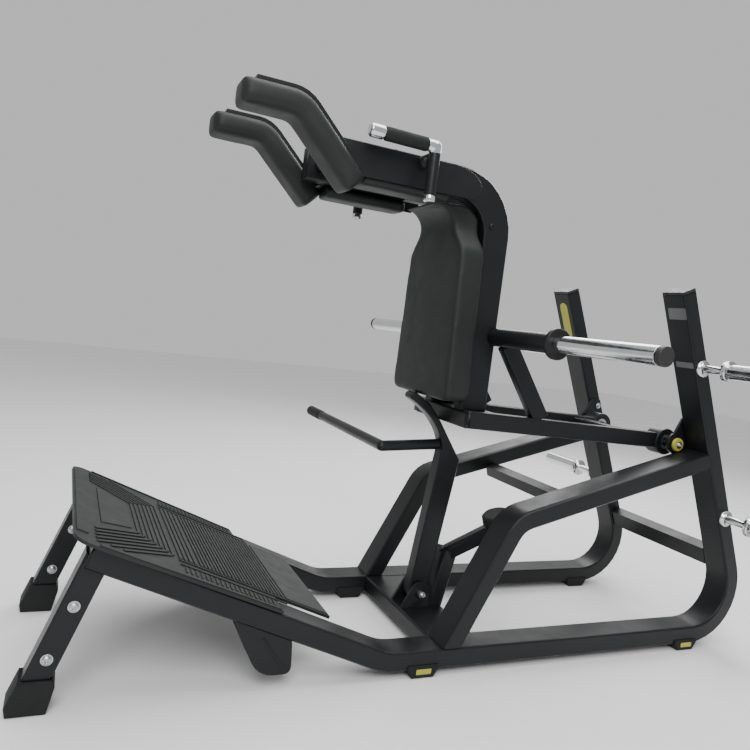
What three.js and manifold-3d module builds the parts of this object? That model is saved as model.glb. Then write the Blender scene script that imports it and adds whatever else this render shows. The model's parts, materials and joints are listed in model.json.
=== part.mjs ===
// Plate-loaded leg press machine of the lever type: a tube base with a sloping foot plate,
// a lever with back pad, shoulder pads and plate horns, and a hinged lock strut.
// Millimetres, +Z up. +X runs from the foot plate to the rear uprights, and -Y is the left side.
import * as THREE from 'three';
import { mergeVertices } from 'three/addons/utils/BufferGeometryUtils.js';
import Module from 'manifold-3d';

const wasm = await Module();
wasm.setup();

// ---- driving dimensions ----
const GAP = 0.3;              // between pieces that touch
const TUBE_W = 100;           // frame tube, across
const TUBE_T = 60;            // frame tube, in the plane of its bend
const RAIL_Y = 294;           // side frame centre
const RAIL_Z = 50;            // floor rail centre
const RAIL_IN = RAIL_Y - TUBE_W / 2;
const RAIL_OUT = RAIL_Y + TUBE_W / 2;
const SLOPE = 22.2;           // of the front rails and the foot plate, degrees
const KNEE_X = 1005;          // where the rail starts to slope
const NOSE_X = 175;           // front end of the rail
const LEAN = 23.3;            // of the uprights, degrees from vertical
const TAIL_X = 2474;          // where upright and rail centre lines cross
const UPRIGHT_TOP = 1246;
const BRACE_Z = 576;          // height of the diagonal brace at BRACE_X
const BRACE_X = 1800;
const BRACE_SLOPE = 16;
const PIVOT = [2106, 722];    // lever axis, x and z
const ARM_Y = 170;
const ARM_H = 55;
const ARM_W = 50;
const ARM_FRONT = [1265, 753];
const ARM_REAR = [2066, 723.7];
const HORN = [1361, 1023];    // plate horn axis, x and z
const SLEEVE_R = 25;          // for plates with a 50 mm hole
const FLANGE_Y = 437;
const HORN_END = 852;
const BOOM_Y = 100;           // the two booms, with room for the head between them
const BOOM_W = 56;
const BOOM_T = 98;
const BOOM_Z = 1491;
const BOOM_FRONT = 722;
const POST_X = 1317;
const BEAM = [1263, 1400, 722, 774];   // lever front beam: x from, to, z from, to
const PAD_FRONT = 1168;
const PAD_BACK = 1250;
const PAD_LOW = 806;
const PAD_HALF = 194;
const PAD_TOP_HALF = 178;     // below the pad's shoulders
const NECK_HALF = 118;
const SHOULDER_Y = 190;
const SHOULDER_T = 66;
const SHOULDER_W = 118;
const HANDLE_X = 985;
const HANDLE_Y = 272;
const GRIP_Z = 1532;
const STRUT_PIN = [1255, 125];
const STRUT_W = 50;
const LEVER_TRAVEL = 22;      // degrees down to the bumper

// ---- colours ----
const paint = (color, roughness, metalness) =>
  new THREE.MeshStandardMaterial({ color, roughness, metalness });
const BLACK = paint(0x2b2e31, 0.45, 0.35);
const BLACK_PLASTIC = paint(0x1d1f20, 0.6, 0.0);
const CHROME = paint(0xd4d6d8, 0.16, 1.0);
const STEEL = paint(0xa4a7a9, 0.3, 0.9);
const PAD = paint(0x2f3633, 0.7, 0.0);
const BOARD = paint(0x232323, 0.8, 0.0);
const RUBBER = paint(0x1b1c1c, 0.85, 0.0);
const RIBBED = paint(0x3a3e40, 0.75, 0.0);
const LIME = paint(0xb6b03a, 0.5, 0.0);

const machine = new THREE.Group();
const SIDES = [['left', -1], ['right', 1]];
const rad = (deg) => (deg * Math.PI) / 180;

function add(name, geometry, material) {
  const mesh = new THREE.Mesh(geometry, material);
  mesh.name = name;
  machine.add(mesh);
}

// ---- booleans ----
function toSolid(geometry) {
  const bare = geometry.clone();
  bare.deleteAttribute('normal');
  bare.deleteAttribute('uv');
  const merged = mergeVertices(bare, 1e-3);
  return new wasm.Manifold(new wasm.Mesh({
    numProp: 3,
    vertProperties: new Float32Array(merged.attributes.position.array),
    triVerts: new Uint32Array(merged.index.array),
  }));
}

function toGeometry(solid) {
  const mesh = solid.getMesh();
  const geometry = new THREE.BufferGeometry();
  geometry.setAttribute('position', new THREE.BufferAttribute(new Float32Array(mesh.vertProperties), 3));
  geometry.setIndex(new THREE.BufferAttribute(new Uint32Array(mesh.triVerts), 1));
  const flat = geometry.toNonIndexed();
  flat.computeVertexNormals();
  return flat;
}

const join = (...parts) => toGeometry(parts.map(toSolid).reduce((a, b) => a.add(b)));
const cut = (body, ...tools) => toGeometry(tools.map(toSolid).reduce((a, b) => a.subtract(b), toSolid(body)));
const overlap = (a, b) => toGeometry(toSolid(a).intersect(toSolid(b)));

// ---- shapes ----
// The centre line through [x, z, bend radius] points, with an arc at each bend.
function centreLine(points) {
  const line = [];
  points.forEach(([x, z, radius = 0], i) => {
    const here = new THREE.Vector2(x, z);
    if (!radius || i === 0 || i === points.length - 1) {
      line.push(here);
      return;
    }
    const back = new THREE.Vector2(points[i - 1][0], points[i - 1][1]).sub(here).normalize();
    const on = new THREE.Vector2(points[i + 1][0], points[i + 1][1]).sub(here).normalize();
    const half = Math.acos(THREE.MathUtils.clamp(back.dot(on), -1, 1)) / 2;
    const run = radius / Math.tan(half);
    const centre = back.clone().add(on).normalize().multiplyScalar(radius / Math.sin(half)).add(here);
    const start = here.clone().addScaledVector(back, run).sub(centre);
    const end = here.clone().addScaledVector(on, run).sub(centre);
    const turn = Math.atan2(start.cross(end), start.dot(end));
    const steps = Math.max(3, Math.round(Math.abs(turn) / rad(11)));
    for (let k = 0; k <= steps; k += 1) {
      line.push(start.clone().rotateAround(new THREE.Vector2(), (turn * k) / steps).add(centre));
    }
  });
  return line;
}

// The outline between two offsets to the left of a centre line.
function ribbon(points, right, left) {
  const line = centreLine(points);
  const side = (offset) => line.map((p, i) => {
    const before = line[Math.max(0, i - 1)];
    const after = line[Math.min(line.length - 1, i + 1)];
    const into = p.clone().sub(before).normalize();
    const out = after.clone().sub(p).normalize();
    const along = into.add(out).normalize();
    const spread = i > 0 && i < line.length - 1 ? along.dot(after.clone().sub(p).normalize()) : 1;
    return new THREE.Vector2(p.x - (along.y * offset) / spread, p.y + (along.x * offset) / spread);
  });
  return new THREE.Shape([...side(right), ...side(left).reverse()]);
}

// A shape in X and Z, given a width along Y and eased edges.
function slab(shape, width, y = 0, ease = 5) {
  const geometry = new THREE.ExtrudeGeometry(shape, {
    depth: width - 2 * ease,
    bevelEnabled: ease > 0,
    bevelThickness: ease,
    bevelSize: ease,
    bevelOffset: -ease,
    bevelSegments: 1,
    curveSegments: 8,
  });
  geometry.translate(0, 0, ease - width / 2);
  geometry.rotateX(Math.PI / 2);
  return geometry.translate(0, y, 0);
}

const bar = (points, thick, width, y, ease = 5) =>
  slab(ribbon(points, -thick / 2, thick / 2), width, y, ease);
// The room that a bar needs in the piece it meets.
function barRoom(points, thick, width, y) {
  const stretch = ([x, z], [nextX, nextZ]) => {
    const step = GAP / Math.hypot(x - nextX, z - nextZ);
    return [x + (x - nextX) * step, z + (z - nextZ) * step];
  };
  const ends = [stretch(points[0], points[1]), stretch(points[points.length - 1], points[points.length - 2])];
  return bar([ends[0], ...points.slice(1, -1), ends[1]], thick + 2 * GAP, width + 2 * GAP, y, 0);
}

// A turned piece on an axis along Y at x, z: [radius, y] pairs from one end to the other.
function turned(x, z, profile, segments = 24) {
  const points = profile.map(([r, y]) => new THREE.Vector2(r, y));
  const rising = points[points.length - 1].y > points[0].y;
  return new THREE.LatheGeometry(rising ? points : points.reverse(), segments).translate(x, 0, z);
}

function rod(x, z, radius, from, to, ease = 1.5, segments = 24) {
  const [a, b] = from < to ? [from, to] : [to, from];
  const edge = [[radius - ease, a], [radius, a + ease], [radius, b - ease], [radius - ease, b]];
  return turned(x, z, [[0, a], ...edge, [0, b]], segments);
}

function ring(x, z, inner, outer, from, to) {
  const [a, b] = from < to ? [from, to] : [to, from];
  const section = [[inner, a], [outer, a], [outer, b], [inner, b], [inner, a]];
  return new THREE.LatheGeometry(section.map(([r, y]) => new THREE.Vector2(r, y)), 24).translate(x, 0, z);
}

// A round piece whose axis runs from one point to another.
function post(from, to, radius, ease = 1.5, segments = 20) {
  const a = new THREE.Vector3(...from);
  const b = new THREE.Vector3(...to);
  const length = a.distanceTo(b);
  const geometry = rod(0, 0, radius, 0, length, ease, segments);
  const turn = new THREE.Quaternion().setFromUnitVectors(new THREE.Vector3(0, 1, 0), b.sub(a).normalize());
  return geometry.applyQuaternion(turn).translate(...from);
}

function roundedRect(x0, x1, z0, z1, radius) {
  const shape = new THREE.Shape();
  shape.moveTo(x0 + radius, z0);
  shape.lineTo(x1 - radius, z0);
  shape.absarc(x1 - radius, z0 + radius, radius, -Math.PI / 2, 0);
  shape.lineTo(x1, z1 - radius);
  shape.absarc(x1 - radius, z1 - radius, radius, 0, Math.PI / 2);
  shape.lineTo(x0 + radius, z1);
  shape.absarc(x0 + radius, z1 - radius, radius, Math.PI / 2, Math.PI);
  shape.lineTo(x0, z0 + radius);
  shape.absarc(x0 + radius, z0 + radius, radius, Math.PI, 1.5 * Math.PI);
  return shape;
}

const block = (x0, x1, y0, y1, z0, z1, radius = 6, ease = 3) =>
  slab(roundedRect(x0, x1, z0, z1, radius), y1 - y0, (y0 + y1) / 2, ease);

// ---- where things are ----
const noseZ = RAIL_Z + (KNEE_X - NOSE_X) * Math.tan(rad(SLOPE));
const uprightX = (z) => TAIL_X - (z - RAIL_Z) * Math.tan(rad(LEAN));
const uprightAt = (z) => [uprightX(z), z];
const braceZ = (x) => BRACE_Z + (x - BRACE_X) * Math.tan(rad(BRACE_SLOPE));
const armZ = (x) => ARM_FRONT[1]
  + ((x - ARM_FRONT[0]) * (ARM_REAR[1] - ARM_FRONT[1])) / (ARM_REAR[0] - ARM_FRONT[0]);
// A point of the slope: along it from the knee, and above the rail's centre line.
const onSlope = (along, above) => [
  KNEE_X - along * Math.cos(rad(SLOPE)) + above * Math.sin(rad(SLOPE)),
  RAIL_Z + along * Math.sin(rad(SLOPE)) + above * Math.cos(rad(SLOPE)),
];

const FRAME_LINE = [[NOSE_X, noseZ], [KNEE_X, RAIL_Z, 190], [TAIL_X, RAIL_Z, 170], uprightAt(UPRIGHT_TOP)];
const BRACE_LINE = [[uprightX(670), braceZ(uprightX(670))], [1405, braceZ(1405), 95], [1208, 63]];

// ---- base ----
const frameRoom = (y) => barRoom(FRAME_LINE, TUBE_T, TUBE_W, y);

for (const [side, sign] of SIDES) {
  const y = sign * RAIL_Y;
  add(`side_frame_${side}`, bar(FRAME_LINE, TUBE_T, TUBE_W, y, 7), BLACK);
  add(`diagonal_leg_${side}`, cut(bar(BRACE_LINE, TUBE_T, TUBE_W, y, 7), frameRoom(y)), BLACK);

  const top = uprightAt(UPRIGHT_TOP + GAP);
  const tip = uprightAt(UPRIGHT_TOP + 10);
  add(`upright_cap_${side}`, bar([top, tip], TUBE_T - 4, TUBE_W - 4, y, 3), BLACK_PLASTIC);

  // bolted front leg with its foot cover
  const legX = (z) => 53 + 0.383 * z;
  const legLine = [[legX(20), 20], [legX(380), 380]];
  add(`front_leg_${side}`, cut(bar(legLine, 62, 62, y, 5), frameRoom(y)), BLACK);
  const cover = new THREE.Shape();
  cover.moveTo(24, 0);
  cover.lineTo(112, 0);
  cover.lineTo(127, 66);
  cover.lineTo(121, 84);
  cover.lineTo(45, 84);
  cover.lineTo(20, 22);
  add(`front_foot_${side}`, cut(slab(cover, 84, y, 5), barRoom(legLine, 62, 62, y)), RUBBER);
}

// ---- floor feet: rubber shoes round the underside of the rails ----
for (const [side, sign] of SIDES) {
  const y = sign * RAIL_Y;
  for (const [place, x] of [['front', 1122], ['rear', 2184]]) {
    const shoe = new THREE.Shape();
    shoe.moveTo(x - 36, 0);
    shoe.lineTo(x + 36, 0);
    shoe.lineTo(x + 54, 30);
    shoe.lineTo(x + 50, 38);
    shoe.lineTo(x - 50, 38);
    shoe.lineTo(x - 54, 30);
    add(`floor_foot_${place}_${side}`, cut(slab(shoe, TUBE_W + 14, y, 4), frameRoom(y)), RUBBER);
  }
}

// ---- cross bars between the side frames ----
const between = RAIL_IN - GAP;
const UNDER_BRACE = 36;       // the diagonal crossbar sits low, clear of the lowered lever
const underBrace = (x) => [x, braceZ(x) - UNDER_BRACE];
const crossbar = (from, to, half) => slab(ribbon([from, to], -half, half), 2 * between, 0, 4);
add('rear_crossbar', crossbar(uprightAt(340), uprightAt(280), 22), BLACK);
add('diagonal_crossbar', crossbar(underBrace(1648), underBrace(1690), 20), BLACK);
add('front_crossbar', crossbar(onSlope(760, 0), onSlope(840, 0), 22), BLACK);

// ---- foot plate, flat on the sloping rails ----
const PLATE_T = 12;
const PLATE_UP = TUBE_T / 2 + GAP;
const TONGUE_HALF = 236;
const plateOutline = new THREE.Shape();
plateOutline.moveTo(-TONGUE_HALF, 178);
plateOutline.lineTo(TONGUE_HALF, 178);
plateOutline.lineTo(TONGUE_HALF, 372);
plateOutline.lineTo(345, 372);
plateOutline.lineTo(372, 900);
plateOutline.absarc(326, 909, 46, 0, Math.PI / 2);
plateOutline.absarc(-326, 909, 46, Math.PI / 2, Math.PI);
plateOutline.lineTo(-345, 372);
plateOutline.lineTo(-TONGUE_HALF, 372);
const plate = new THREE.ExtrudeGeometry(plateOutline, {
  depth: PLATE_T - 6, bevelThickness: 3, bevelSize: 3, bevelOffset: -3, bevelSegments: 1, curveSegments: 8,
});
plate.rotateZ(Math.PI / 2);
plate.rotateY(rad(SLOPE));
const [plateX, plateZ] = onSlope(0, PLATE_UP + 3);
plate.translate(plateX, 0, plateZ);
add('foot_plate', plate, RIBBED);

// ---- skids under the sloping rails ----
for (const [side, sign] of SIDES) {
  const skid = new THREE.Shape();
  skid.moveTo(...onSlope(490, -TUBE_T / 2 - GAP));
  skid.lineTo(600, 88);
  skid.quadraticCurveTo(622, 44, 668, 42);
  skid.lineTo(694, 42);
  skid.quadraticCurveTo(716, 43, 716, 66);
  skid.lineTo(...onSlope(306, -TUBE_T / 2 - GAP));
  add(`skid_plate_${side}`, slab(skid, 66, sign * 300, 3), BLACK);
}

// ---- pivot: brackets with stub axles on the uprights, bearings and caps ----
const [PX, PZ] = PIVOT;
const AXLE_R = 15;
const HOUSING = [138, 200];
for (const [side, sign] of SIDES) {
  const y = (value) => sign * value;
  const plateShape = new THREE.Shape();
  plateShape.moveTo(PX - 36, PZ - 18);
  plateShape.absarc(PX, PZ, 40, -2.6, 1.9, true);
  plateShape.lineTo(uprightX(PZ + 96) - 22, PZ + 96);
  plateShape.lineTo(uprightX(PZ + 96) + 22, PZ + 96);
  plateShape.lineTo(uprightX(PZ - 90) + 22, PZ - 90);
  plateShape.lineTo(uprightX(PZ - 90) - 22, PZ - 90);
  const axle = rod(PX, PZ, AXLE_R, y(126), y(RAIL_IN - GAP), 2);
  add(`pivot_bracket_${side}`, join(slab(plateShape, 10, y(RAIL_IN - 5 - GAP), 1.5), axle), BLACK);
  add(`pivot_bearing_${side}`, ring(PX, PZ, AXLE_R + 0.6, 27, y(HOUSING[0] + 2), y(HOUSING[1] - 2)), STEEL);
  add(`pivot_cap_${side}`, rod(PX, PZ, 24, y(RAIL_IN), y(RAIL_IN + 14), 3), LIME);
}

// ---- plate storage horns on the uprights ----
for (const [side, sign] of SIDES) {
  for (const [place, z] of [['upper', 1003], ['lower', 480]]) {
    const y = (value) => sign * value;
    const root = RAIL_OUT + GAP;
    const stem = [[0, root], [28, root], [28, root + 8], [13, root + 10], [13, 440]];
    const sleeve = [[35, 442], [35, 456], [SLEEVE_R, 458], [SLEEVE_R, 657], [SLEEVE_R - 3, 660], [0, 660]];
    const profile = [...stem, ...sleeve];
    add(`storage_horn_${place}_${side}`, turned(uprightX(z), z, profile.map(([r, w]) => [r, y(w)])), CHROME);
  }
}

// ---- lever ----
const hornRod = (grow) => rod(HORN[0], HORN[1], 30 + grow, -FLANGE_Y, FLANGE_Y, 0);
const FLANGE = [[0, 20], [42, 20], [46, 16], [46, 6], [40, 0], [30, 0]];
const halfHorn = FLANGE.map(([r, out]) => [r, FLANGE_Y + out]);
const hornProfile = [...halfHorn, ...halfHorn.map(([r, w]) => [r, -w]).reverse()];
const yokeBar = (grow) => rod(HANDLE_X, 1498, 20 + grow, -HANDLE_Y + 17.5, HANDLE_Y - 17.5, 0);
const YOKE_PLATE_Y = 206;
const yokeFront = (grow) => rod(895, 1498, 20 + grow, -YOKE_PLATE_Y, YOKE_PLATE_Y, 0);
const yokeNose = (grow) => rod(762, 1487, 16 + grow, -YOKE_PLATE_Y, YOKE_PLATE_Y, 0);
const BOOM_LINE = [[BOOM_FRONT, BOOM_Z], [POST_X, BOOM_Z, 150], [POST_X, BEAM[3] + GAP]];
const backPlate = block(1284, 1296, -BOOM_Y, BOOM_Y, 790, 1400, 4, 1);
const booms = SIDES.map(([, sign]) => bar(BOOM_LINE, BOOM_T, BOOM_W, sign * BOOM_Y, 8));
add('boom', cut(join(...booms, backPlate), hornRod(GAP), yokeBar(GAP), yokeFront(GAP), yokeNose(GAP)), BLACK);
add('horn_crossbar', turned(HORN[0], HORN[1], hornProfile), BLACK);
const leverParts = [
  block(BEAM[0], BEAM[1], -ARM_Y, ARM_Y, BEAM[2], BEAM[3]),
  block(1960, 2010, -ARM_Y, ARM_Y, armZ(1985) - 20, armZ(1985) + 20),
];
const leverBores = [];
for (const [side, sign] of SIDES) {
  const y = (value) => sign * value;
  leverParts.push(bar([ARM_FRONT, ARM_REAR], ARM_H, ARM_W, y(ARM_Y), 5));
  leverParts.push(rod(PX, PZ, 48, y(HOUSING[0]), y(HOUSING[1]), 3, 32));
  leverBores.push(rod(PX, PZ, 27 + GAP, y(100), y(240), 0));
  const gusset = bar([[1382, 1005], [1548, 770]], 58, 36, y(ARM_Y), 4);
  const armRoom = barRoom([ARM_FRONT, ARM_REAR], ARM_H, ARM_W + 4, y(ARM_Y));
  const above = new THREE.BoxGeometry(300, 60, 300).translate(1450, y(ARM_Y), armZ(1450) - 150);
  add(`horn_brace_${side}`, cut(gusset, hornRod(GAP), armRoom, above), BLACK);
  const sleeve = (from, to, ease) => rod(HORN[0], HORN[1], SLEEVE_R, y(from), y(to), ease);
  add(`plate_sleeve_${side}`, sleeve(FLANGE_Y + 20 + GAP, HORN_END - 20, 1), CHROME);
  add(`sleeve_cap_${side}`, sleeve(HORN_END - 20 + GAP, HORN_END, 3), BLACK_PLASTIC);
}
add('lever_frame', cut(join(...leverParts), ...leverBores), BLACK);

// ---- back pad: a body with sloping shoulders and a neck that fills the corner under the boom ----
const padFront = new THREE.Shape();
padFront.moveTo(-PAD_HALF + 30, PAD_LOW);
padFront.lineTo(PAD_HALF - 30, PAD_LOW);
padFront.absarc(PAD_HALF - 30, PAD_LOW + 30, 30, -Math.PI / 2, 0);
padFront.lineTo(PAD_TOP_HALF, 1262);
padFront.bezierCurveTo(PAD_TOP_HALF, 1300, NECK_HALF, 1320, NECK_HALF, 1362);
padFront.lineTo(NECK_HALF, 1440);
padFront.lineTo(-NECK_HALF, 1440);
padFront.lineTo(-NECK_HALF, 1362);
padFront.bezierCurveTo(-NECK_HALF, 1320, -PAD_TOP_HALF, 1300, -PAD_TOP_HALF, 1262);
padFront.lineTo(-PAD_HALF, PAD_LOW + 30);
padFront.absarc(-PAD_HALF + 30, PAD_LOW + 30, 30, Math.PI, 1.5 * Math.PI);
const padBlock = new THREE.ExtrudeGeometry(padFront, { depth: 400, bevelEnabled: false, curveSegments: 8 });
padBlock.rotateX(Math.PI / 2);
padBlock.rotateZ(Math.PI / 2);
padBlock.translate(1000, 0, 0);
const padSide = new THREE.Shape();
padSide.moveTo(PAD_BACK, PAD_LOW - 10);
padSide.lineTo(PAD_BACK, 1390);
padSide.lineTo(1215, 1416);
padSide.lineTo(1190, 1421);
padSide.lineTo(1104, 1421);
padSide.absarc(1098, 1345, 70, Math.PI / 2, 0, true);
padSide.lineTo(PAD_FRONT, PAD_LOW - 10);
add('back_pad', overlap(padBlock, slab(padSide, 2 * PAD_HALF + 20, 0, 0)), PAD);
const postFront = POST_X - BOOM_T / 2;
add('back_board', block(PAD_BACK + GAP, postFront - GAP, -140, 140, PAD_LOW + 25, 1250, 4, 2), BOARD);

// ---- shoulder pads: a front pad that steps down, and a level rear pad behind it ----
const STEP_LINE = [[438, 1571], [600, 1571, 60], [778, 1392]];
const LEVEL_Z = 1422;
const LEVEL_T = 36;
const LEVEL = [806, 1092];
const LEVEL_Y = 150;
const yokePlate = new THREE.Shape();
yokePlate.moveTo(797, 1424);
yokePlate.lineTo(1160, 1424);
yokePlate.quadraticCurveTo(1196, 1452, 1188, 1474);
yokePlate.quadraticCurveTo(1160, 1512, 1090, 1515);
yokePlate.lineTo(706, 1515);
const carriers = [];
for (const [side, sign] of SIDES) {
  const y = sign * SHOULDER_Y;
  const half = SHOULDER_T / 2;
  add(`shoulder_pad_front_${side}`, bar(STEP_LINE, SHOULDER_T, SHOULDER_W, y, 16), PAD);
  add(`shoulder_pad_rear_${side}`,
    bar([[LEVEL[0], LEVEL_Z], [LEVEL[1], LEVEL_Z]], LEVEL_T, 100, sign * LEVEL_Y, 12), PAD);
  const stepped = [[475, 1571], STEP_LINE[1], [756, 1414]];
  carriers.push(slab(ribbon(stepped, half + GAP, half + 14), 70, y, 1.5));
  const [inner, outer] = [LEVEL_Y - 16, YOKE_PLATE_Y - 1].map((value) => sign * value);
  carriers.push(block(784, 1080, Math.min(inner, outer), Math.max(inner, outer),
    LEVEL_Z + LEVEL_T / 2 + GAP, 1484, 2, 1));
  carriers.push(slab(yokePlate, 8, sign * YOKE_PLATE_Y, 1.5));
}
add('shoulder_yoke', join(yokeBar(0), yokeFront(0), yokeNose(0), ...carriers), BLACK);

// ---- handles beside the shoulder pads: a bent tube in a socket, with a grip ----
const HANDLE_FOOT = 1376;
const HANDLE_TIP = 780;
for (const [side, sign] of SIDES) {
  const y = sign * HANDLE_Y;
  const tube = (grow) => join(
    post([HANDLE_X, y, HANDLE_FOOT - grow], [HANDLE_X, y, GRIP_Z], 13 + grow, 1),
    new THREE.SphereGeometry(13 + grow, 20, 14).translate(HANDLE_X, y, GRIP_Z),
    post([HANDLE_X, y, GRIP_Z], [HANDLE_TIP + 4 - grow, y, GRIP_Z + 4], 13 + grow, 1));
  const tip = post([826, y, GRIP_Z + 3], [HANDLE_TIP, y, GRIP_Z + 4], 19, 6);
  const foot = post([HANDLE_X, y, 1396], [HANDLE_X, y, HANDLE_FOOT], 17, 4);
  const elbow = join(post([HANDLE_X, y, 1512.5], [HANDLE_X, y, GRIP_Z], 17, 0.5),
    new THREE.SphereGeometry(17, 22, 16).translate(HANDLE_X, y, GRIP_Z),
    post([HANDLE_X, y, GRIP_Z], [HANDLE_X - 26, y, GRIP_Z], 17, 0.5));
  add(`handle_tube_${side}`, join(tube(0), tip, foot, elbow), CHROME);
  const socket = post([HANDLE_X, y, 1396.3], [HANDLE_X, y, 1512.2], 17, 1);
  add(`handle_socket_${side}`, cut(socket, tube(GAP), yokeBar(GAP)), BLACK);
  const grip = post([HANDLE_X - 26.3, y, GRIP_Z + 0.5], [826.4, y, GRIP_Z + 3], 19.5, 4);
  add(`handle_grip_${side}`, cut(grip, tube(GAP)), RUBBER);
}

// ---- centre crossbar: the strut's clevis, and a post with a rubber bumper under the left arm ----
const [SX, SZ] = STRUT_PIN;
const pin = (grow) => rod(SX, SZ, 12 + grow, -58, 58, 2);
const POST_TOP = [1360, 0, 252];
const BUMPER = [1430, 446.5];    // where the arm's underside meets it at the end of the travel
const BUMPER_T = 40;
const lean = rad(LEVER_TRAVEL - 2);
const crossbarParts = [
  block(1180, 1345, -between, between, 22, 78, 8, 4),
  bar([[1320, 60], [1362, 270]], 50, 76, 0, 4),
];
const seat = [BUMPER[0] + BUMPER_T * Math.sin(lean), BUMPER[1] - BUMPER_T * Math.cos(lean)];
const below = (drop) => [seat[0] + drop * Math.sin(lean), -ARM_Y, seat[1] - drop * Math.cos(lean)];
add('stop_bumper', post([BUMPER[0], -ARM_Y, BUMPER[1]], below(0), 50, 7, 32), RUBBER);
crossbarParts.push(post(below(GAP), below(12), 46, 1.5, 32));
const end = new THREE.Vector3(...below(10));
const start = new THREE.Vector3(...POST_TOP);
const arm = new THREE.BoxGeometry(46, start.distanceTo(end), 46);
arm.applyQuaternion(new THREE.Quaternion().setFromUnitVectors(
  new THREE.Vector3(0, 1, 0), end.clone().sub(start).normalize()));
arm.translate(...start.clone().add(end).multiplyScalar(0.5).toArray());
const aboveSeat = new THREE.BoxGeometry(300, 300, 200).translate(0, 0, 100).rotateY(-lean);
crossbarParts.push(cut(arm, aboveSeat.translate(...below(GAP + 2))));
for (const [, sign] of SIDES) {
  const cheek = new THREE.Shape();
  cheek.moveTo(1184, 70);
  cheek.lineTo(1296, 70);
  cheek.lineTo(1290, SZ + 10);
  cheek.absarc(SX, SZ + 6, 34, 0.1, Math.PI - 0.6);
  crossbarParts.push(cut(slab(cheek, 10, sign * 36, 1.5), pin(GAP)));
}
add('centre_crossbar', join(...crossbarParts), BLACK);

// ---- lock strut: hinged on the clevis, holding the lever's front beam, with a long side handle ----
const strutShape = new THREE.Shape();
strutShape.moveTo(SX + 34, SZ);
strutShape.lineTo(1350, 560);
strutShape.lineTo(1352, 590);
strutShape.lineTo(BEAM[0] - 2, BEAM[2] - 4);
strutShape.lineTo(BEAM[0] - 50, BEAM[2] + 52);
strutShape.lineTo(1160, 808);
strutShape.absarc(1150, 796, 15, 0.9, 3.6);
strutShape.quadraticCurveTo(1262, 720, 1278, 630);
strutShape.lineTo(SX - 34, SZ + 8);
strutShape.absarc(SX, SZ, 34, Math.PI - 0.2, 2 * Math.PI);
const BAR_R = 18;
const BAR_START = [1272, 637];
const BAR_CORNER = [1062, 622];
const handleBar = join(post([BAR_START[0], 0, BAR_START[1]], [BAR_CORNER[0], 0, BAR_CORNER[1]], BAR_R),
  new THREE.SphereGeometry(BAR_R, 20, 14).translate(BAR_CORNER[0], 0, BAR_CORNER[1]),
  rod(BAR_CORNER[0], BAR_CORNER[1], BAR_R, 0, 600));
add('lock_strut', cut(slab(strutShape, STRUT_W, 0, 4), pin(GAP)), BLACK);
const bladeRoom = slab(strutShape, STRUT_W + 2 * GAP, 0, 0).translate(-GAP, 0, 0);
add('lock_handle_bar', cut(handleBar, bladeRoom), BLACK);
add('lock_handle_grip', rod(BAR_CORNER[0], BAR_CORNER[1], BAR_R + 2, 600 + GAP, 740, 5), RUBBER);
add('strut_pin', pin(0), STEEL);

// The origin is at the middle of the length, on the floor.
machine.position.x = -new THREE.Box3().setFromObject(machine).getCenter(new THREE.Vector3()).x;

export default machine;
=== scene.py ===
"""Looks of the plate-loaded leg press machine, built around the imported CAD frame. Metres, +Z up."""
import json
import math

import bmesh
import bpy
from mathutils import Matrix, Vector, noise


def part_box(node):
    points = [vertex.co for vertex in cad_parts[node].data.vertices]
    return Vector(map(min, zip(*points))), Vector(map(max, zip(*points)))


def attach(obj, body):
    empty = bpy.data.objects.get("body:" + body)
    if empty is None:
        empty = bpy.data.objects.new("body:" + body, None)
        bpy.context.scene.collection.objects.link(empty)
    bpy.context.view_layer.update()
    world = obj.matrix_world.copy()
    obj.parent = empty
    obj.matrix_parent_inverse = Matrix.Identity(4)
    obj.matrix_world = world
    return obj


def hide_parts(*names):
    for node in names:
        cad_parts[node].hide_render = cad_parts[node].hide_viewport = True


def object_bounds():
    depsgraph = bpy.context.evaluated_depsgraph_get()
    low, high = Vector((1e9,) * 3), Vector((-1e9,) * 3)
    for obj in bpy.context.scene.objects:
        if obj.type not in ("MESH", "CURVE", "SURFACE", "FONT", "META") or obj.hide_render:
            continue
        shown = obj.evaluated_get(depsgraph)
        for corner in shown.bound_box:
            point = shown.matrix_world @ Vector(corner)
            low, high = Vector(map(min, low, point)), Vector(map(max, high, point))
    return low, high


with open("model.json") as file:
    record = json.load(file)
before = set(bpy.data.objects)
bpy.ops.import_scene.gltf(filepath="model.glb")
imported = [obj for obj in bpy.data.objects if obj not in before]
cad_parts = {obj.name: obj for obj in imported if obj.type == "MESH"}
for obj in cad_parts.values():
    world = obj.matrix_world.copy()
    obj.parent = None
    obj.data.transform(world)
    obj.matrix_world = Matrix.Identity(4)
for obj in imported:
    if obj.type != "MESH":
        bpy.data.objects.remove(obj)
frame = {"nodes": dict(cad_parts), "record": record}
CAD_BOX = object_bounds()

# ---- the camera, from the front left of the machine at chest height ----
CAMERA_AHEAD = 1.139          # of the middle of the machine, towards the foot plate
CAMERA_ASIDE = 2.065
CAMERA_HEIGHT = 1.012
CAMERA_YAW = 24.2
CAMERA_DOWN = 4.0
CAMERA_ROLL = 7.0
CAMERA_LENS = 33.5


def add_camera():
    data = bpy.data.cameras.new("camera")
    data.lens = CAMERA_LENS
    data.sensor_width = 36
    camera = bpy.data.objects.new("camera", data)
    bpy.context.scene.collection.objects.link(camera)
    turn = (Matrix.Rotation(math.radians(-CAMERA_YAW), 4, "Z")
            @ Matrix.Rotation(math.radians(90 - CAMERA_DOWN), 4, "X")
            @ Matrix.Rotation(math.radians(CAMERA_ROLL), 4, "Z"))
    camera.matrix_world = Matrix.Translation((-CAMERA_AHEAD, -CAMERA_ASIDE, CAMERA_HEIGHT)) @ turn
    bpy.context.scene.camera = camera


add_camera()


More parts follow.
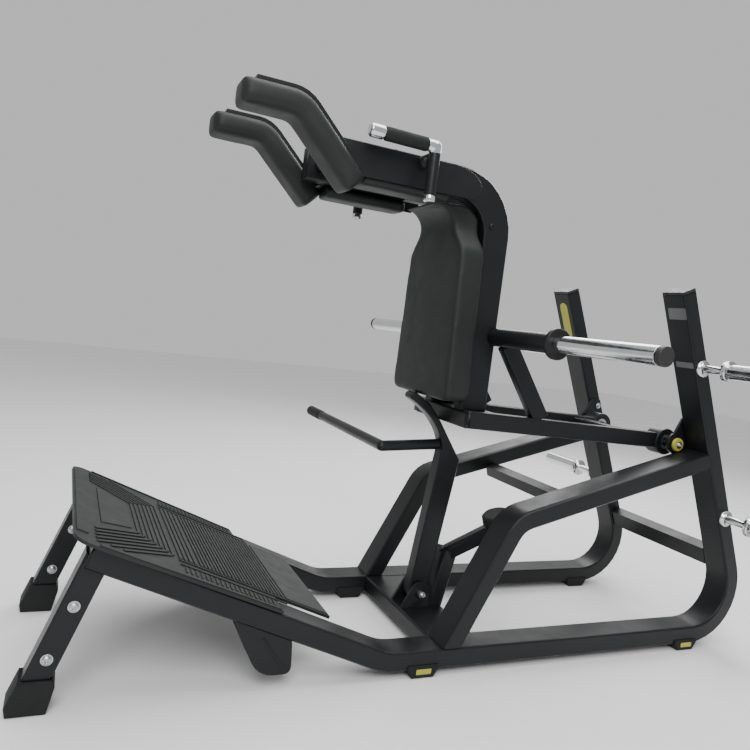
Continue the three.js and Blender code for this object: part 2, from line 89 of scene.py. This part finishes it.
# ---- studio: pale floor, soft lights ----
def add_floor():
    mesh = bpy.data.meshes.new("floor")
    half = 12
    corners = [(-half, -half, 0), (half, -half, 0), (half, half, 0), (-half, half, 0)]
    mesh.from_pydata(corners, [], [(0, 1, 2, 3)])
    floor = bpy.data.objects.new("floor", mesh)
    bpy.context.scene.collection.objects.link(floor)
    floor.location.z = -0.0005
    material = bpy.data.materials.new("studio_floor")
    material.use_nodes = True
    shader = material.node_tree.nodes["Principled BSDF"]
    shader.inputs["Base Color"].default_value = (0.86, 0.86, 0.86, 1)
    shader.inputs["Roughness"].default_value = 0.8
    mesh.materials.append(material)


def add_light(name, place, aim, size, watts):
    data = bpy.data.lights.new(name, "AREA")
    data.size = size
    data.energy = watts
    light = bpy.data.objects.new(name, data)
    light.location = place
    light.rotation_euler = (Vector(aim) - Vector(place)).to_track_quat("-Z", "Y").to_euler()
    bpy.context.scene.collection.objects.link(light)


def add_world(level):
    world = bpy.data.worlds.new("studio")
    bpy.context.scene.world = world
    world.use_nodes = True
    background = world.node_tree.nodes["Background"]
    background.inputs["Color"].default_value = (1, 1, 1, 1)
    background.inputs["Strength"].default_value = level


add_floor()
add_world(0.62)
add_light("key", (-1.6, -3.4, 3.6), (0, 0, 0.8), 2.5, 160)
add_light("back", (2.6, 2.6, 3.4), (0, 0, 0.8), 2.5, 120)
add_light("top", (0, 0, 4.2), (0, 0, 0), 3.0, 120)


# ---- materials ----
def new_material(name):
    material = bpy.data.materials.new(name)
    material.use_nodes = True
    nodes = material.node_tree.nodes
    return material, nodes, material.node_tree.links, nodes["Principled BSDF"]


def noise_node(nodes, links, scale, detail=3.0, roughness=0.55):
    """A noise in object space, so that it needs no UVs."""
    place = nodes.new("ShaderNodeTexCoord")
    texture = nodes.new("ShaderNodeTexNoise")
    texture.inputs["Scale"].default_value = scale
    texture.inputs["Detail"].default_value = detail
    texture.inputs["Roughness"].default_value = roughness
    links.new(place.outputs["Object"], texture.inputs["Vector"])
    return texture.outputs["Fac"]


def mix_colors(nodes, links, factor, low, high):
    ramp = nodes.new("ShaderNodeValToRGB")
    ramp.color_ramp.elements[0].position = 0.3
    ramp.color_ramp.elements[1].position = 0.7
    ramp.color_ramp.elements[0].color = (*low, 1)
    ramp.color_ramp.elements[1].color = (*high, 1)
    links.new(factor, ramp.inputs["Fac"])
    return ramp.outputs["Color"]


def spread(nodes, links, factor, low, high):
    """Maps a noise to a range of values."""
    span = nodes.new("ShaderNodeMapRange")
    span.inputs["From Min"].default_value = 0.3
    span.inputs["From Max"].default_value = 0.7
    span.inputs["To Min"].default_value = low
    span.inputs["To Max"].default_value = high
    links.new(factor, span.inputs["Value"])
    return span.outputs["Result"]


def bump(nodes, links, height, strength, distance, under):
    """Fine relief over the normal given as under."""
    node = nodes.new("ShaderNodeBump")
    node.inputs["Strength"].default_value = strength
    node.inputs["Distance"].default_value = distance
    links.new(height, node.inputs["Height"])
    links.new(under, node.inputs["Normal"])
    return node.outputs["Normal"]


def rounded_edges(nodes, radius):
    node = nodes.new("ShaderNodeBevel")
    node.samples = 4
    node.inputs["Radius"].default_value = radius
    return node.outputs["Normal"]


def surface(name, low, high, rough, metallic=0.0, blotch=6.0, grain=700.0, grain_depth=0.0002, edge=0.0015,
            specular=0.5):
    """A material with blotches of colour and gloss over a fine grain, and softened edges."""
    material, nodes, links, shader = new_material(name)
    patches = noise_node(nodes, links, blotch)
    links.new(mix_colors(nodes, links, patches, low, high), shader.inputs["Base Color"])
    wear = noise_node(nodes, links, blotch * 4, 5.0)
    links.new(spread(nodes, links, wear, *rough), shader.inputs["Roughness"])
    fine = noise_node(nodes, links, grain, 2.0)
    relief = bump(nodes, links, fine, 0.25, grain_depth, rounded_edges(nodes, edge))
    links.new(relief, shader.inputs["Normal"])
    shader.inputs["Metallic"].default_value = metallic
    shader.inputs["Specular IOR Level"].default_value = specular
    return material


BLACK_PAINT = surface(
    "black_powder_coat", (0.0065, 0.0072, 0.0082), (0.0095, 0.0105, 0.0118), (0.32, 0.44),
    blotch=3.0, grain=900, grain_depth=0.0003, edge=0.002, specular=0.26)
CHROME = surface(
    "polished_chrome", (0.62, 0.63, 0.65), (0.72, 0.73, 0.74), (0.10, 0.24),
    metallic=1.0, blotch=9.0, grain=300, grain_depth=0.00005, edge=0.001)
STEEL = surface(
    "turned_steel", (0.42, 0.43, 0.44), (0.52, 0.53, 0.54), (0.25, 0.42), metallic=1.0, edge=0.001)
PAD_SKIN = surface(
    "moulded_pad_skin", (0.0085, 0.0112, 0.0100), (0.0125, 0.0160, 0.0142), (0.46, 0.58),
    blotch=4.0, grain=420, grain_depth=0.0005, edge=0.003, specular=0.28)
RUBBER = surface(
    "black_rubber", (0.008, 0.0085, 0.009), (0.013, 0.0135, 0.014), (0.6, 0.78),
    grain=500, grain_depth=0.0004, specular=0.25)
PLATE_RUBBER = surface(
    "foot_plate_rubber", (0.0120, 0.0152, 0.0142), (0.0175, 0.0215, 0.0200), (0.48, 0.62),
    blotch=5.0, grain=380, grain_depth=0.0005, edge=0.0012, specular=0.3)
PLASTIC = surface("black_plastic", (0.010, 0.010, 0.011), (0.016, 0.016, 0.017), (0.45, 0.6))
PLYWOOD = surface("black_board", (0.012, 0.012, 0.012), (0.022, 0.021, 0.020), (0.7, 0.85), grain=200)
ACCENT = surface("lime_plastic", (0.34, 0.33, 0.03), (0.44, 0.42, 0.06), (0.38, 0.52))
LABEL_GREY = surface("blank_label", (0.085, 0.088, 0.09), (0.11, 0.114, 0.116), (0.4, 0.5))

SLOT_MATERIALS = {
    "black_paint": BLACK_PAINT, "chrome": CHROME, "steel": STEEL, "pad_cover": PAD_SKIN, "board": PLYWOOD,
    "foot_plate": PLATE_RUBBER, "rubber": RUBBER, "black_plastic": PLASTIC, "accent": ACCENT,
}
SLOT_OF = {part["node"]: part["material_slot"] for part in frame["record"]["subparts"]}
for name, slot_name in SLOT_OF.items():
    node = frame["nodes"][name]
    node.data.materials.clear()
    node.data.materials.append(SLOT_MATERIALS[slot_name])


# ---- where things are: the CAD frame's own measures, in metres ----
FEET_X = CAD_BOX[0][0]        # the front end of the machine
SLOPE = math.radians(22.2)    # of the front rails
LEAN = math.radians(23.3)     # of the uprights, from vertical
RAIL_Z = 0.050                # floor rail centre line
KNEE_X = FEET_X + 0.985       # where the rail starts to slope
TAIL_X = FEET_X + 2.454       # where upright and rail centre lines cross
RAIL_TOP = 0.0303             # of the rail's face above its centre line
SINK = 0.0002                 # how far a small part sits into the surface under it
SIDES = ((-1, "left"), (1, "right"))


def middle(node_name):
    low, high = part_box(node_name)
    return [(a + b) / 2 for a, b in zip(low, high)]


def side_face(node_name, sign):
    """The y of a node's face on its right (sign 1) or left (-1), less what a small part sinks into it."""
    low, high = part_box(node_name)
    return high[1] - SINK if sign > 0 else low[1] + SINK


def shade(mesh, smooth_under):
    """Smooth shading, with sharp edges where the faces turn by more than the angle in degrees."""
    mesh.polygons.foreach_set("use_smooth", [True] * len(mesh.polygons))
    mesh.set_sharp_from_angle(angle=math.radians(smooth_under))


def add_piece(name, mesh, slot_name, body, material=None):
    mesh.materials.clear()
    mesh.materials.append(material or SLOT_MATERIALS[slot_name])
    piece = bpy.data.objects.new(name, mesh)
    bpy.context.scene.collection.objects.link(piece)
    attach(piece, body)
    return piece


def world_bmesh(node):
    work = bmesh.new()
    work.from_mesh(node.data)
    work.transform(node.matrix_world)
    bmesh.ops.remove_doubles(work, verts=work.verts, dist=0.00005)
    return work


def to_mesh(work, name):
    mesh = bpy.data.meshes.new(name)
    bmesh.ops.recalc_face_normals(work, faces=work.faces)
    work.to_mesh(mesh)
    work.free()
    return mesh


def with_modifiers(mesh, *steps):
    """The mesh after modifiers, each given as (type, settings)."""
    holder = bpy.data.objects.new("holder", mesh)
    bpy.context.scene.collection.objects.link(holder)
    for kind, settings in steps:
        modifier = holder.modifiers.new(kind.lower(), kind)
        for key, value in settings.items():
            setattr(modifier, key, value)
    graph = bpy.context.evaluated_depsgraph_get()
    result = bpy.data.meshes.new_from_object(holder.evaluated_get(graph))
    bpy.data.objects.remove(holder)
    return result


def body_name(node_name):
    bodies = frame["record"]["behaviour"]["bodies"]
    return next(body for body, members in bodies.items() if node_name in members)


# ---- smooth copies of the metal and rubber pieces ----
def smooth_copy(node_name):
    node = frame["nodes"][node_name]
    work = world_bmesh(node)
    bmesh.ops.dissolve_limit(work, angle_limit=math.radians(0.5), verts=work.verts, edges=work.edges)
    mesh = to_mesh(work, node_name + "_skin")
    shade(mesh, 50)
    mesh = with_modifiers(mesh, ("WEIGHTED_NORMAL", {"keep_sharp": True, "weight": 80}))
    piece = add_piece(node_name + "_skin", mesh, SLOT_OF[node_name], body_name(node_name))
    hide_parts(node_name)


PAD_NODES = [name for name in SLOT_OF if SLOT_OF[name] == "pad_cover"]
for name in SLOT_OF:
    if name not in PAD_NODES and name != "foot_plate":
        smooth_copy(name)


# ---- pads: foam with a moulded skin, full in the middle and round at every edge ----
PAD_CELL = 0.006
PAD_ROUNDS = 22
RIPPLES = ((9.0, 0.0008), (31.0, 0.0003))    # (frequency, height) of the skin's unevenness


def pad(node_name, cell, swell, face=None):
    """face is the (direction, half width, crown) of the side the user leans on."""
    node = frame["nodes"][node_name]
    mesh = to_mesh(world_bmesh(node), node_name + "_foam")
    mesh = with_modifiers(mesh, ("REMESH", {"mode": "VOXEL", "voxel_size": cell}),
                          ("SMOOTH", {"factor": 0.5, "iterations": PAD_ROUNDS}))
    work = bmesh.new()
    work.from_mesh(mesh)
    work.normal_update()
    for vertex in work.verts:
        ripple = sum(noise.noise(vertex.co * frequency) * height for frequency, height in RIPPLES)
        vertex.co += vertex.normal * (swell + ripple)
        if face:
            direction, half, crown = face
            lift = max(0.0, vertex.normal.dot(direction)) * max(0.0, 1 - (abs(vertex.co.y) / half) ** 2)
            vertex.co += direction * (lift * crown)
    mesh = to_mesh(work, node_name + "_foam")
    shade(mesh, 180)
    piece = add_piece(node_name + "_foam", mesh, "pad_cover", body_name(node_name))
    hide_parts(node_name)


for name in PAD_NODES:
    if name == "back_pad":
        pad(name, PAD_CELL, 0.002, (Vector((-1, 0, 0)), 0.19, 0.007))
    elif name.startswith("shoulder_pad_rear"):
        pad(name, PAD_CELL * 0.8, 0.001)
    else:
        pad(name, PAD_CELL, 0.002)


# ---- foot plate: ribs on a thin base, in the plate's own directions ----
PLATE_ORIGIN = Vector((KNEE_X + RAIL_TOP * math.sin(SLOPE), 0, RAIL_Z + RAIL_TOP * math.cos(SLOPE)))
UP_SLOPE = Vector((-math.cos(SLOPE), 0, math.sin(SLOPE)))
OUT_OF_PLATE = Vector((math.sin(SLOPE), 0, math.cos(SLOPE)))
UNDERSIDE = 0.0004            # just clear of the rails
BASE_T = 0.0085
PLATE_T = 0.0119              # at the top of the ribs
ROOT = BASE_T - 0.0004        # the ribs start a little inside the base
TONGUE_HALF = 0.234
CHANNEL = (0.342, 0.668)      # the lengthwise ribs' ends, along the slope


def on_plate(along, y, height):
    return PLATE_ORIGIN + UP_SLOPE * along + Vector((0, y, 0)) + OUT_OF_PLATE * height


def prism(work, outline, low, high, inset=0.0):
    """A closed block over an outline of (along, y) points, its top drawn in by inset."""
    count = len(outline)
    middle_point = (sum(p[0] for p in outline) / count, sum(p[1] for p in outline) / count)

    def drawn_in(point):
        away = Vector((middle_point[0] - point[0], middle_point[1] - point[1]))
        step = away.normalized() * min(inset, away.length * 0.5)
        return point[0] + step.x, point[1] + step.y

    bottom = [work.verts.new(on_plate(a, y, low)) for a, y in outline]
    top = [work.verts.new(on_plate(*drawn_in(p), high)) for p in outline]
    work.faces.new(bottom[::-1])
    work.faces.new(top)
    for i in range(count):
        j = (i + 1) % count
        work.faces.new((bottom[i], bottom[j], top[j], top[i]))


def rib(work, start, end, width, high=PLATE_T):
    """A straight rib between two (along, y) points."""
    a, b = Vector(start), Vector(end)
    side = (b - a).normalized().orthogonal() * (width / 2)
    outline = [tuple(p) for p in (a - side, b - side, b + side, a + side)]
    prism(work, outline, ROOT, high, 0.0008)


def corner_arc(along, y, radius, first, last, steps=8):
    return [(along + radius * math.sin(t), y + radius * math.cos(t))
            for t in (math.radians(first + (last - first) * k / steps) for k in range(steps + 1))]


def plate_base(work):
    head = corner_arc(0.907, 0.326, 0.045, 0, 90) + corner_arc(0.907, -0.326, 0.045, 90, 180)
    step, step_half = 0.374, 0.343
    outline = [(0.180, -TONGUE_HALF), (0.180, TONGUE_HALF), (step, TONGUE_HALF), (step, step_half), *head,
               (step, -step_half), (step, -TONGUE_HALF)]
    prism(work, outline, UNDERSIDE, BASE_T)


def plate_sides(work):
    """At each side a rim and a channel with short ribs outside it, and a wide rib along the head."""
    for sign in (-1, 1):
        rib(work, (0.380, sign * 0.336), (0.890, sign * 0.362), 0.010)
        for wall in (0.243, 0.273):
            rib(work, (CHANNEL[0], sign * wall), (CHANNEL[1], sign * wall), 0.006)
        for k in range(19):
            along = 0.392 + k * 0.0145
            rib(work, (along, sign * 0.284), (along + 0.004, sign * 0.324), 0.006, PLATE_T - 0.0006)
    rib(work, (0.932, -0.305), (0.932, 0.305), 0.030)


def nested_ribs(work):
    """Ribs one inside the other, their ends flared towards the head's corners."""
    width = 0.0082
    flare_along, flare_out = 0.8, 0.6
    for k in range(7):
        along, half = 0.772 - k * 0.0150, 0.140 + k * 0.0140
        rib(work, (along, -half), (along, half), width)
        length = min((0.898 - along) / flare_along, (0.334 - half) / flare_out)
        for sign in (-1, 1):
            rib(work, (along + 0.003, sign * (half + 0.003)),
                (along + flare_along * length, sign * (half + flare_out * length)), width)
    blank_panel = [(0.790, -0.120), (0.790, 0.120), (0.880, 0.170), (0.880, -0.170)]
    prism(work, blank_panel, ROOT, PLATE_T, 0.002)


def cross_ribs(work):
    """A few broad ribs across the plate, then fine ones, then the smooth tongue."""
    half = 0.232
    for count, first, pitch, width in ((4, 0.660, 0.0150, 0.0092), (22, 0.598, 0.0122, 0.0064)):
        for k in range(count):
            along = first - k * pitch
            rib(work, (along, -half), (along, half), width)
    tongue = [(0.186, -0.228), (0.186, 0.228), (0.330, 0.228), (0.330, -0.228)]
    prism(work, tongue, ROOT, PLATE_T - 0.0006, 0.002)


def add_foot_plate():
    work = bmesh.new()
    plate_base(work)
    plate_sides(work)
    nested_ribs(work)
    cross_ribs(work)
    mesh = to_mesh(work, "foot_plate_ribbed")
    shade(mesh, 30)
    piece = add_piece("foot_plate_ribbed", mesh, "foot_plate", body_name("foot_plate"))
    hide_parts("foot_plate")


add_foot_plate()


# ---- small parts: bolts, labels and marks ----
SMALL_PART_SMOOTH = 40


def turned_mesh(name, profile, place, axis, segments=28):
    """Turns (radius, height) pairs about an axis through a place."""
    work = bmesh.new()
    rows = []
    for radius, height in profile:
        if radius == 0:
            rows.append([work.verts.new((0, 0, height))])
        else:
            rows.append([work.verts.new((radius * math.cos(2 * math.pi * k / segments),
                                         radius * math.sin(2 * math.pi * k / segments), height))
                         for k in range(segments)])
    for low, high in zip(rows, rows[1:]):
        for k in range(segments):
            j = (k + 1) % segments
            if len(low) == 1:
                work.faces.new((low[0], high[j], high[k]))
            elif len(high) == 1:
                work.faces.new((low[k], low[j], high[0]))
            else:
                work.faces.new((low[k], low[j], high[j], high[k]))
    turn = Vector((0, 0, 1)).rotation_difference(Vector(axis))
    work.transform(Matrix.Translation(place) @ turn.to_matrix().to_4x4())
    mesh = to_mesh(work, name)
    shade(mesh, SMALL_PART_SMOOTH)
    return mesh


def bolt(name, place, axis, size, body, slot_name="steel"):
    """A button head with a hex socket, on a washer."""
    washer = [(0, 0), (size * 1.25, 0), (size * 1.25, size * 0.18), (size * 0.95, size * 0.2)]
    head = [(size * 0.93, size * 0.62), (size * 0.7, size * 0.86), (size * 0.42, size * 0.92),
            (size * 0.40, size * 0.5), (0, size * 0.5)]
    add_piece(name, turned_mesh(name, washer + head, place, axis), slot_name, body)


def add_plate(name, slot_name, body, place, directions, size, material=None):
    """A thin rounded plate. directions are those of its length, its width and its outer face;
    size is its length, width, thickness and corner radius."""
    along, across, out = (Vector(direction).normalized() for direction in directions)
    length, width, thickness, radius = size
    outline = []
    for along_sign, across_sign, first in ((1, 1, 0), (-1, 1, 90), (-1, -1, 180), (1, -1, 270)):
        for k in range(6):
            t = math.radians(first + 90 * k / 5)
            outline.append((along_sign * (length / 2 - radius) + radius * math.cos(t),
                            across_sign * (width / 2 - radius) + radius * math.sin(t)))
    work = bmesh.new()

    def ring(scale, height):
        return [work.verts.new(Vector(place) + along * a * scale + across * c * scale + out * height)
                for a, c in outline]

    low, rim, high = ring(1, 0), ring(1, thickness * 0.7), ring(0.97, thickness)
    work.faces.new(low[::-1])
    work.faces.new(high)
    for lower, upper in ((low, rim), (rim, high)):
        for k in range(len(lower)):
            j = (k + 1) % len(lower)
            work.faces.new((lower[k], lower[j], upper[j], upper[k]))
    mesh = to_mesh(work, name)
    shade(mesh, SMALL_PART_SMOOTH)
    add_piece(name, mesh, slot_name, body, material)


UPRIGHT_HALF = 0.030
UP_UPRIGHT = (-math.sin(LEAN), 0, math.cos(LEAN))
OUT_FRONT = (-math.cos(LEAN), 0, -math.sin(LEAN))
ACROSS = (0, 1, 0)


def upright_x(z):
    return TAIL_X - (z - RAIL_Z) * math.tan(LEAN)


def on_upright_front(z, y):
    return Vector((upright_x(z), y, z)) + Vector(OUT_FRONT) * UPRIGHT_HALF


def add_labels():
    """A lime strip on the right upright and two blank labels on the left one."""
    add_plate("accent_strip", "accent", "base", on_upright_front(1.141, 0.291),
              (UP_UPRIGHT, ACROSS, OUT_FRONT), (0.155, 0.044, 0.0014, 0.021))
    add_plate("label_upper", "black_plastic", "base", on_upright_front(1.188, -0.302),
              (ACROSS, UP_UPRIGHT, OUT_FRONT), (0.074, 0.040, 0.0008, 0.004), LABEL_GREY)
    add_plate("label_lower", "black_plastic", "base", on_upright_front(1.020, -0.300),
              (ACROSS, UP_UPRIGHT, OUT_FRONT), (0.074, 0.020, 0.0008, 0.003), LABEL_GREY)


def add_foot_marks(sign, side):
    height = 0.0205
    for end in ("front", "rear"):
        shoe = f"floor_foot_{end}_{side}"
        place = (middle(shoe)[0], side_face(shoe, sign), height)
        add_plate(f"foot_mark_{end}_{side}", "accent", "base", place,
                  ((1, 0, 0), (0, 0, 1), (0, sign, 0)), (0.050, 0.016, 0.0012, 0.003))


def add_leg_bolts(sign, side):
    leg = f"front_leg_{side}"
    outer = side_face(leg, sign)
    inner = side_face(leg, -sign)
    for place, z in (("upper", 0.261), ("lower", 0.133)):
        x = FEET_X + 0.033 + 0.383 * z    # on the leg's centre line
        bolt(f"leg_bolt_out_{place}_{side}", (x, outer, z), (0, sign, 0), 0.0115, "base")
        bolt(f"leg_bolt_in_{place}_{side}", (x, inner, z), (0, -sign, 0), 0.0115, "base")


def add_bracket_bolts(sign, side):
    plate_face = 0.2337 + SINK
    behind_line = 0.004
    for place, z in (("upper", 0.792), ("middle", 0.742), ("lower", 0.655)):
        bolt(f"bracket_bolt_{place}_{side}", (upright_x(z) + behind_line, sign * plate_face, z),
             (0, -sign, 0), 0.0095, "base")


def add_joint_bolts(sign, side):
    """Bolts in the ends of the lever's and the strut's axles, and one in the boom's bend."""
    out = (0, sign, 0)
    x, _, z = middle(f"pivot_cap_{side}")
    bolt(f"pivot_bolt_{side}", (x, side_face(f"pivot_cap_{side}", sign), z), out, 0.0100, "base")
    _, (boom_back, _, boom_top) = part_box("boom")
    bolt(f"boom_bolt_{side}", (boom_back - 0.074, side_face("boom", sign), boom_top - 0.168), out, 0.0085,
         "lever", "black_paint")
    x, _, z = middle("strut_pin")
    bolt(f"strut_bolt_{side}", (x, side_face("strut_pin", sign), z), out, 0.0098, "base")


def add_skid_rib(sign, side):
    skid = f"skid_plate_{side}"
    along = Vector((0.075, 0, -0.105))
    place = (FEET_X + 0.640, side_face(skid, sign), 0.104)
    add_plate(f"skid_rib_{side}", "black_paint", "base", place,
              (along, along.cross(Vector(ACROSS)), (0, sign, 0)), (0.118, 0.007, 0.0022, 0.0034))


add_labels()
for sign, side in SIDES:
    add_foot_marks(sign, side)
    add_leg_bolts(sign, side)
    add_bracket_bolts(sign, side)
    add_joint_bolts(sign, side)
    add_skid_rib(sign, side)
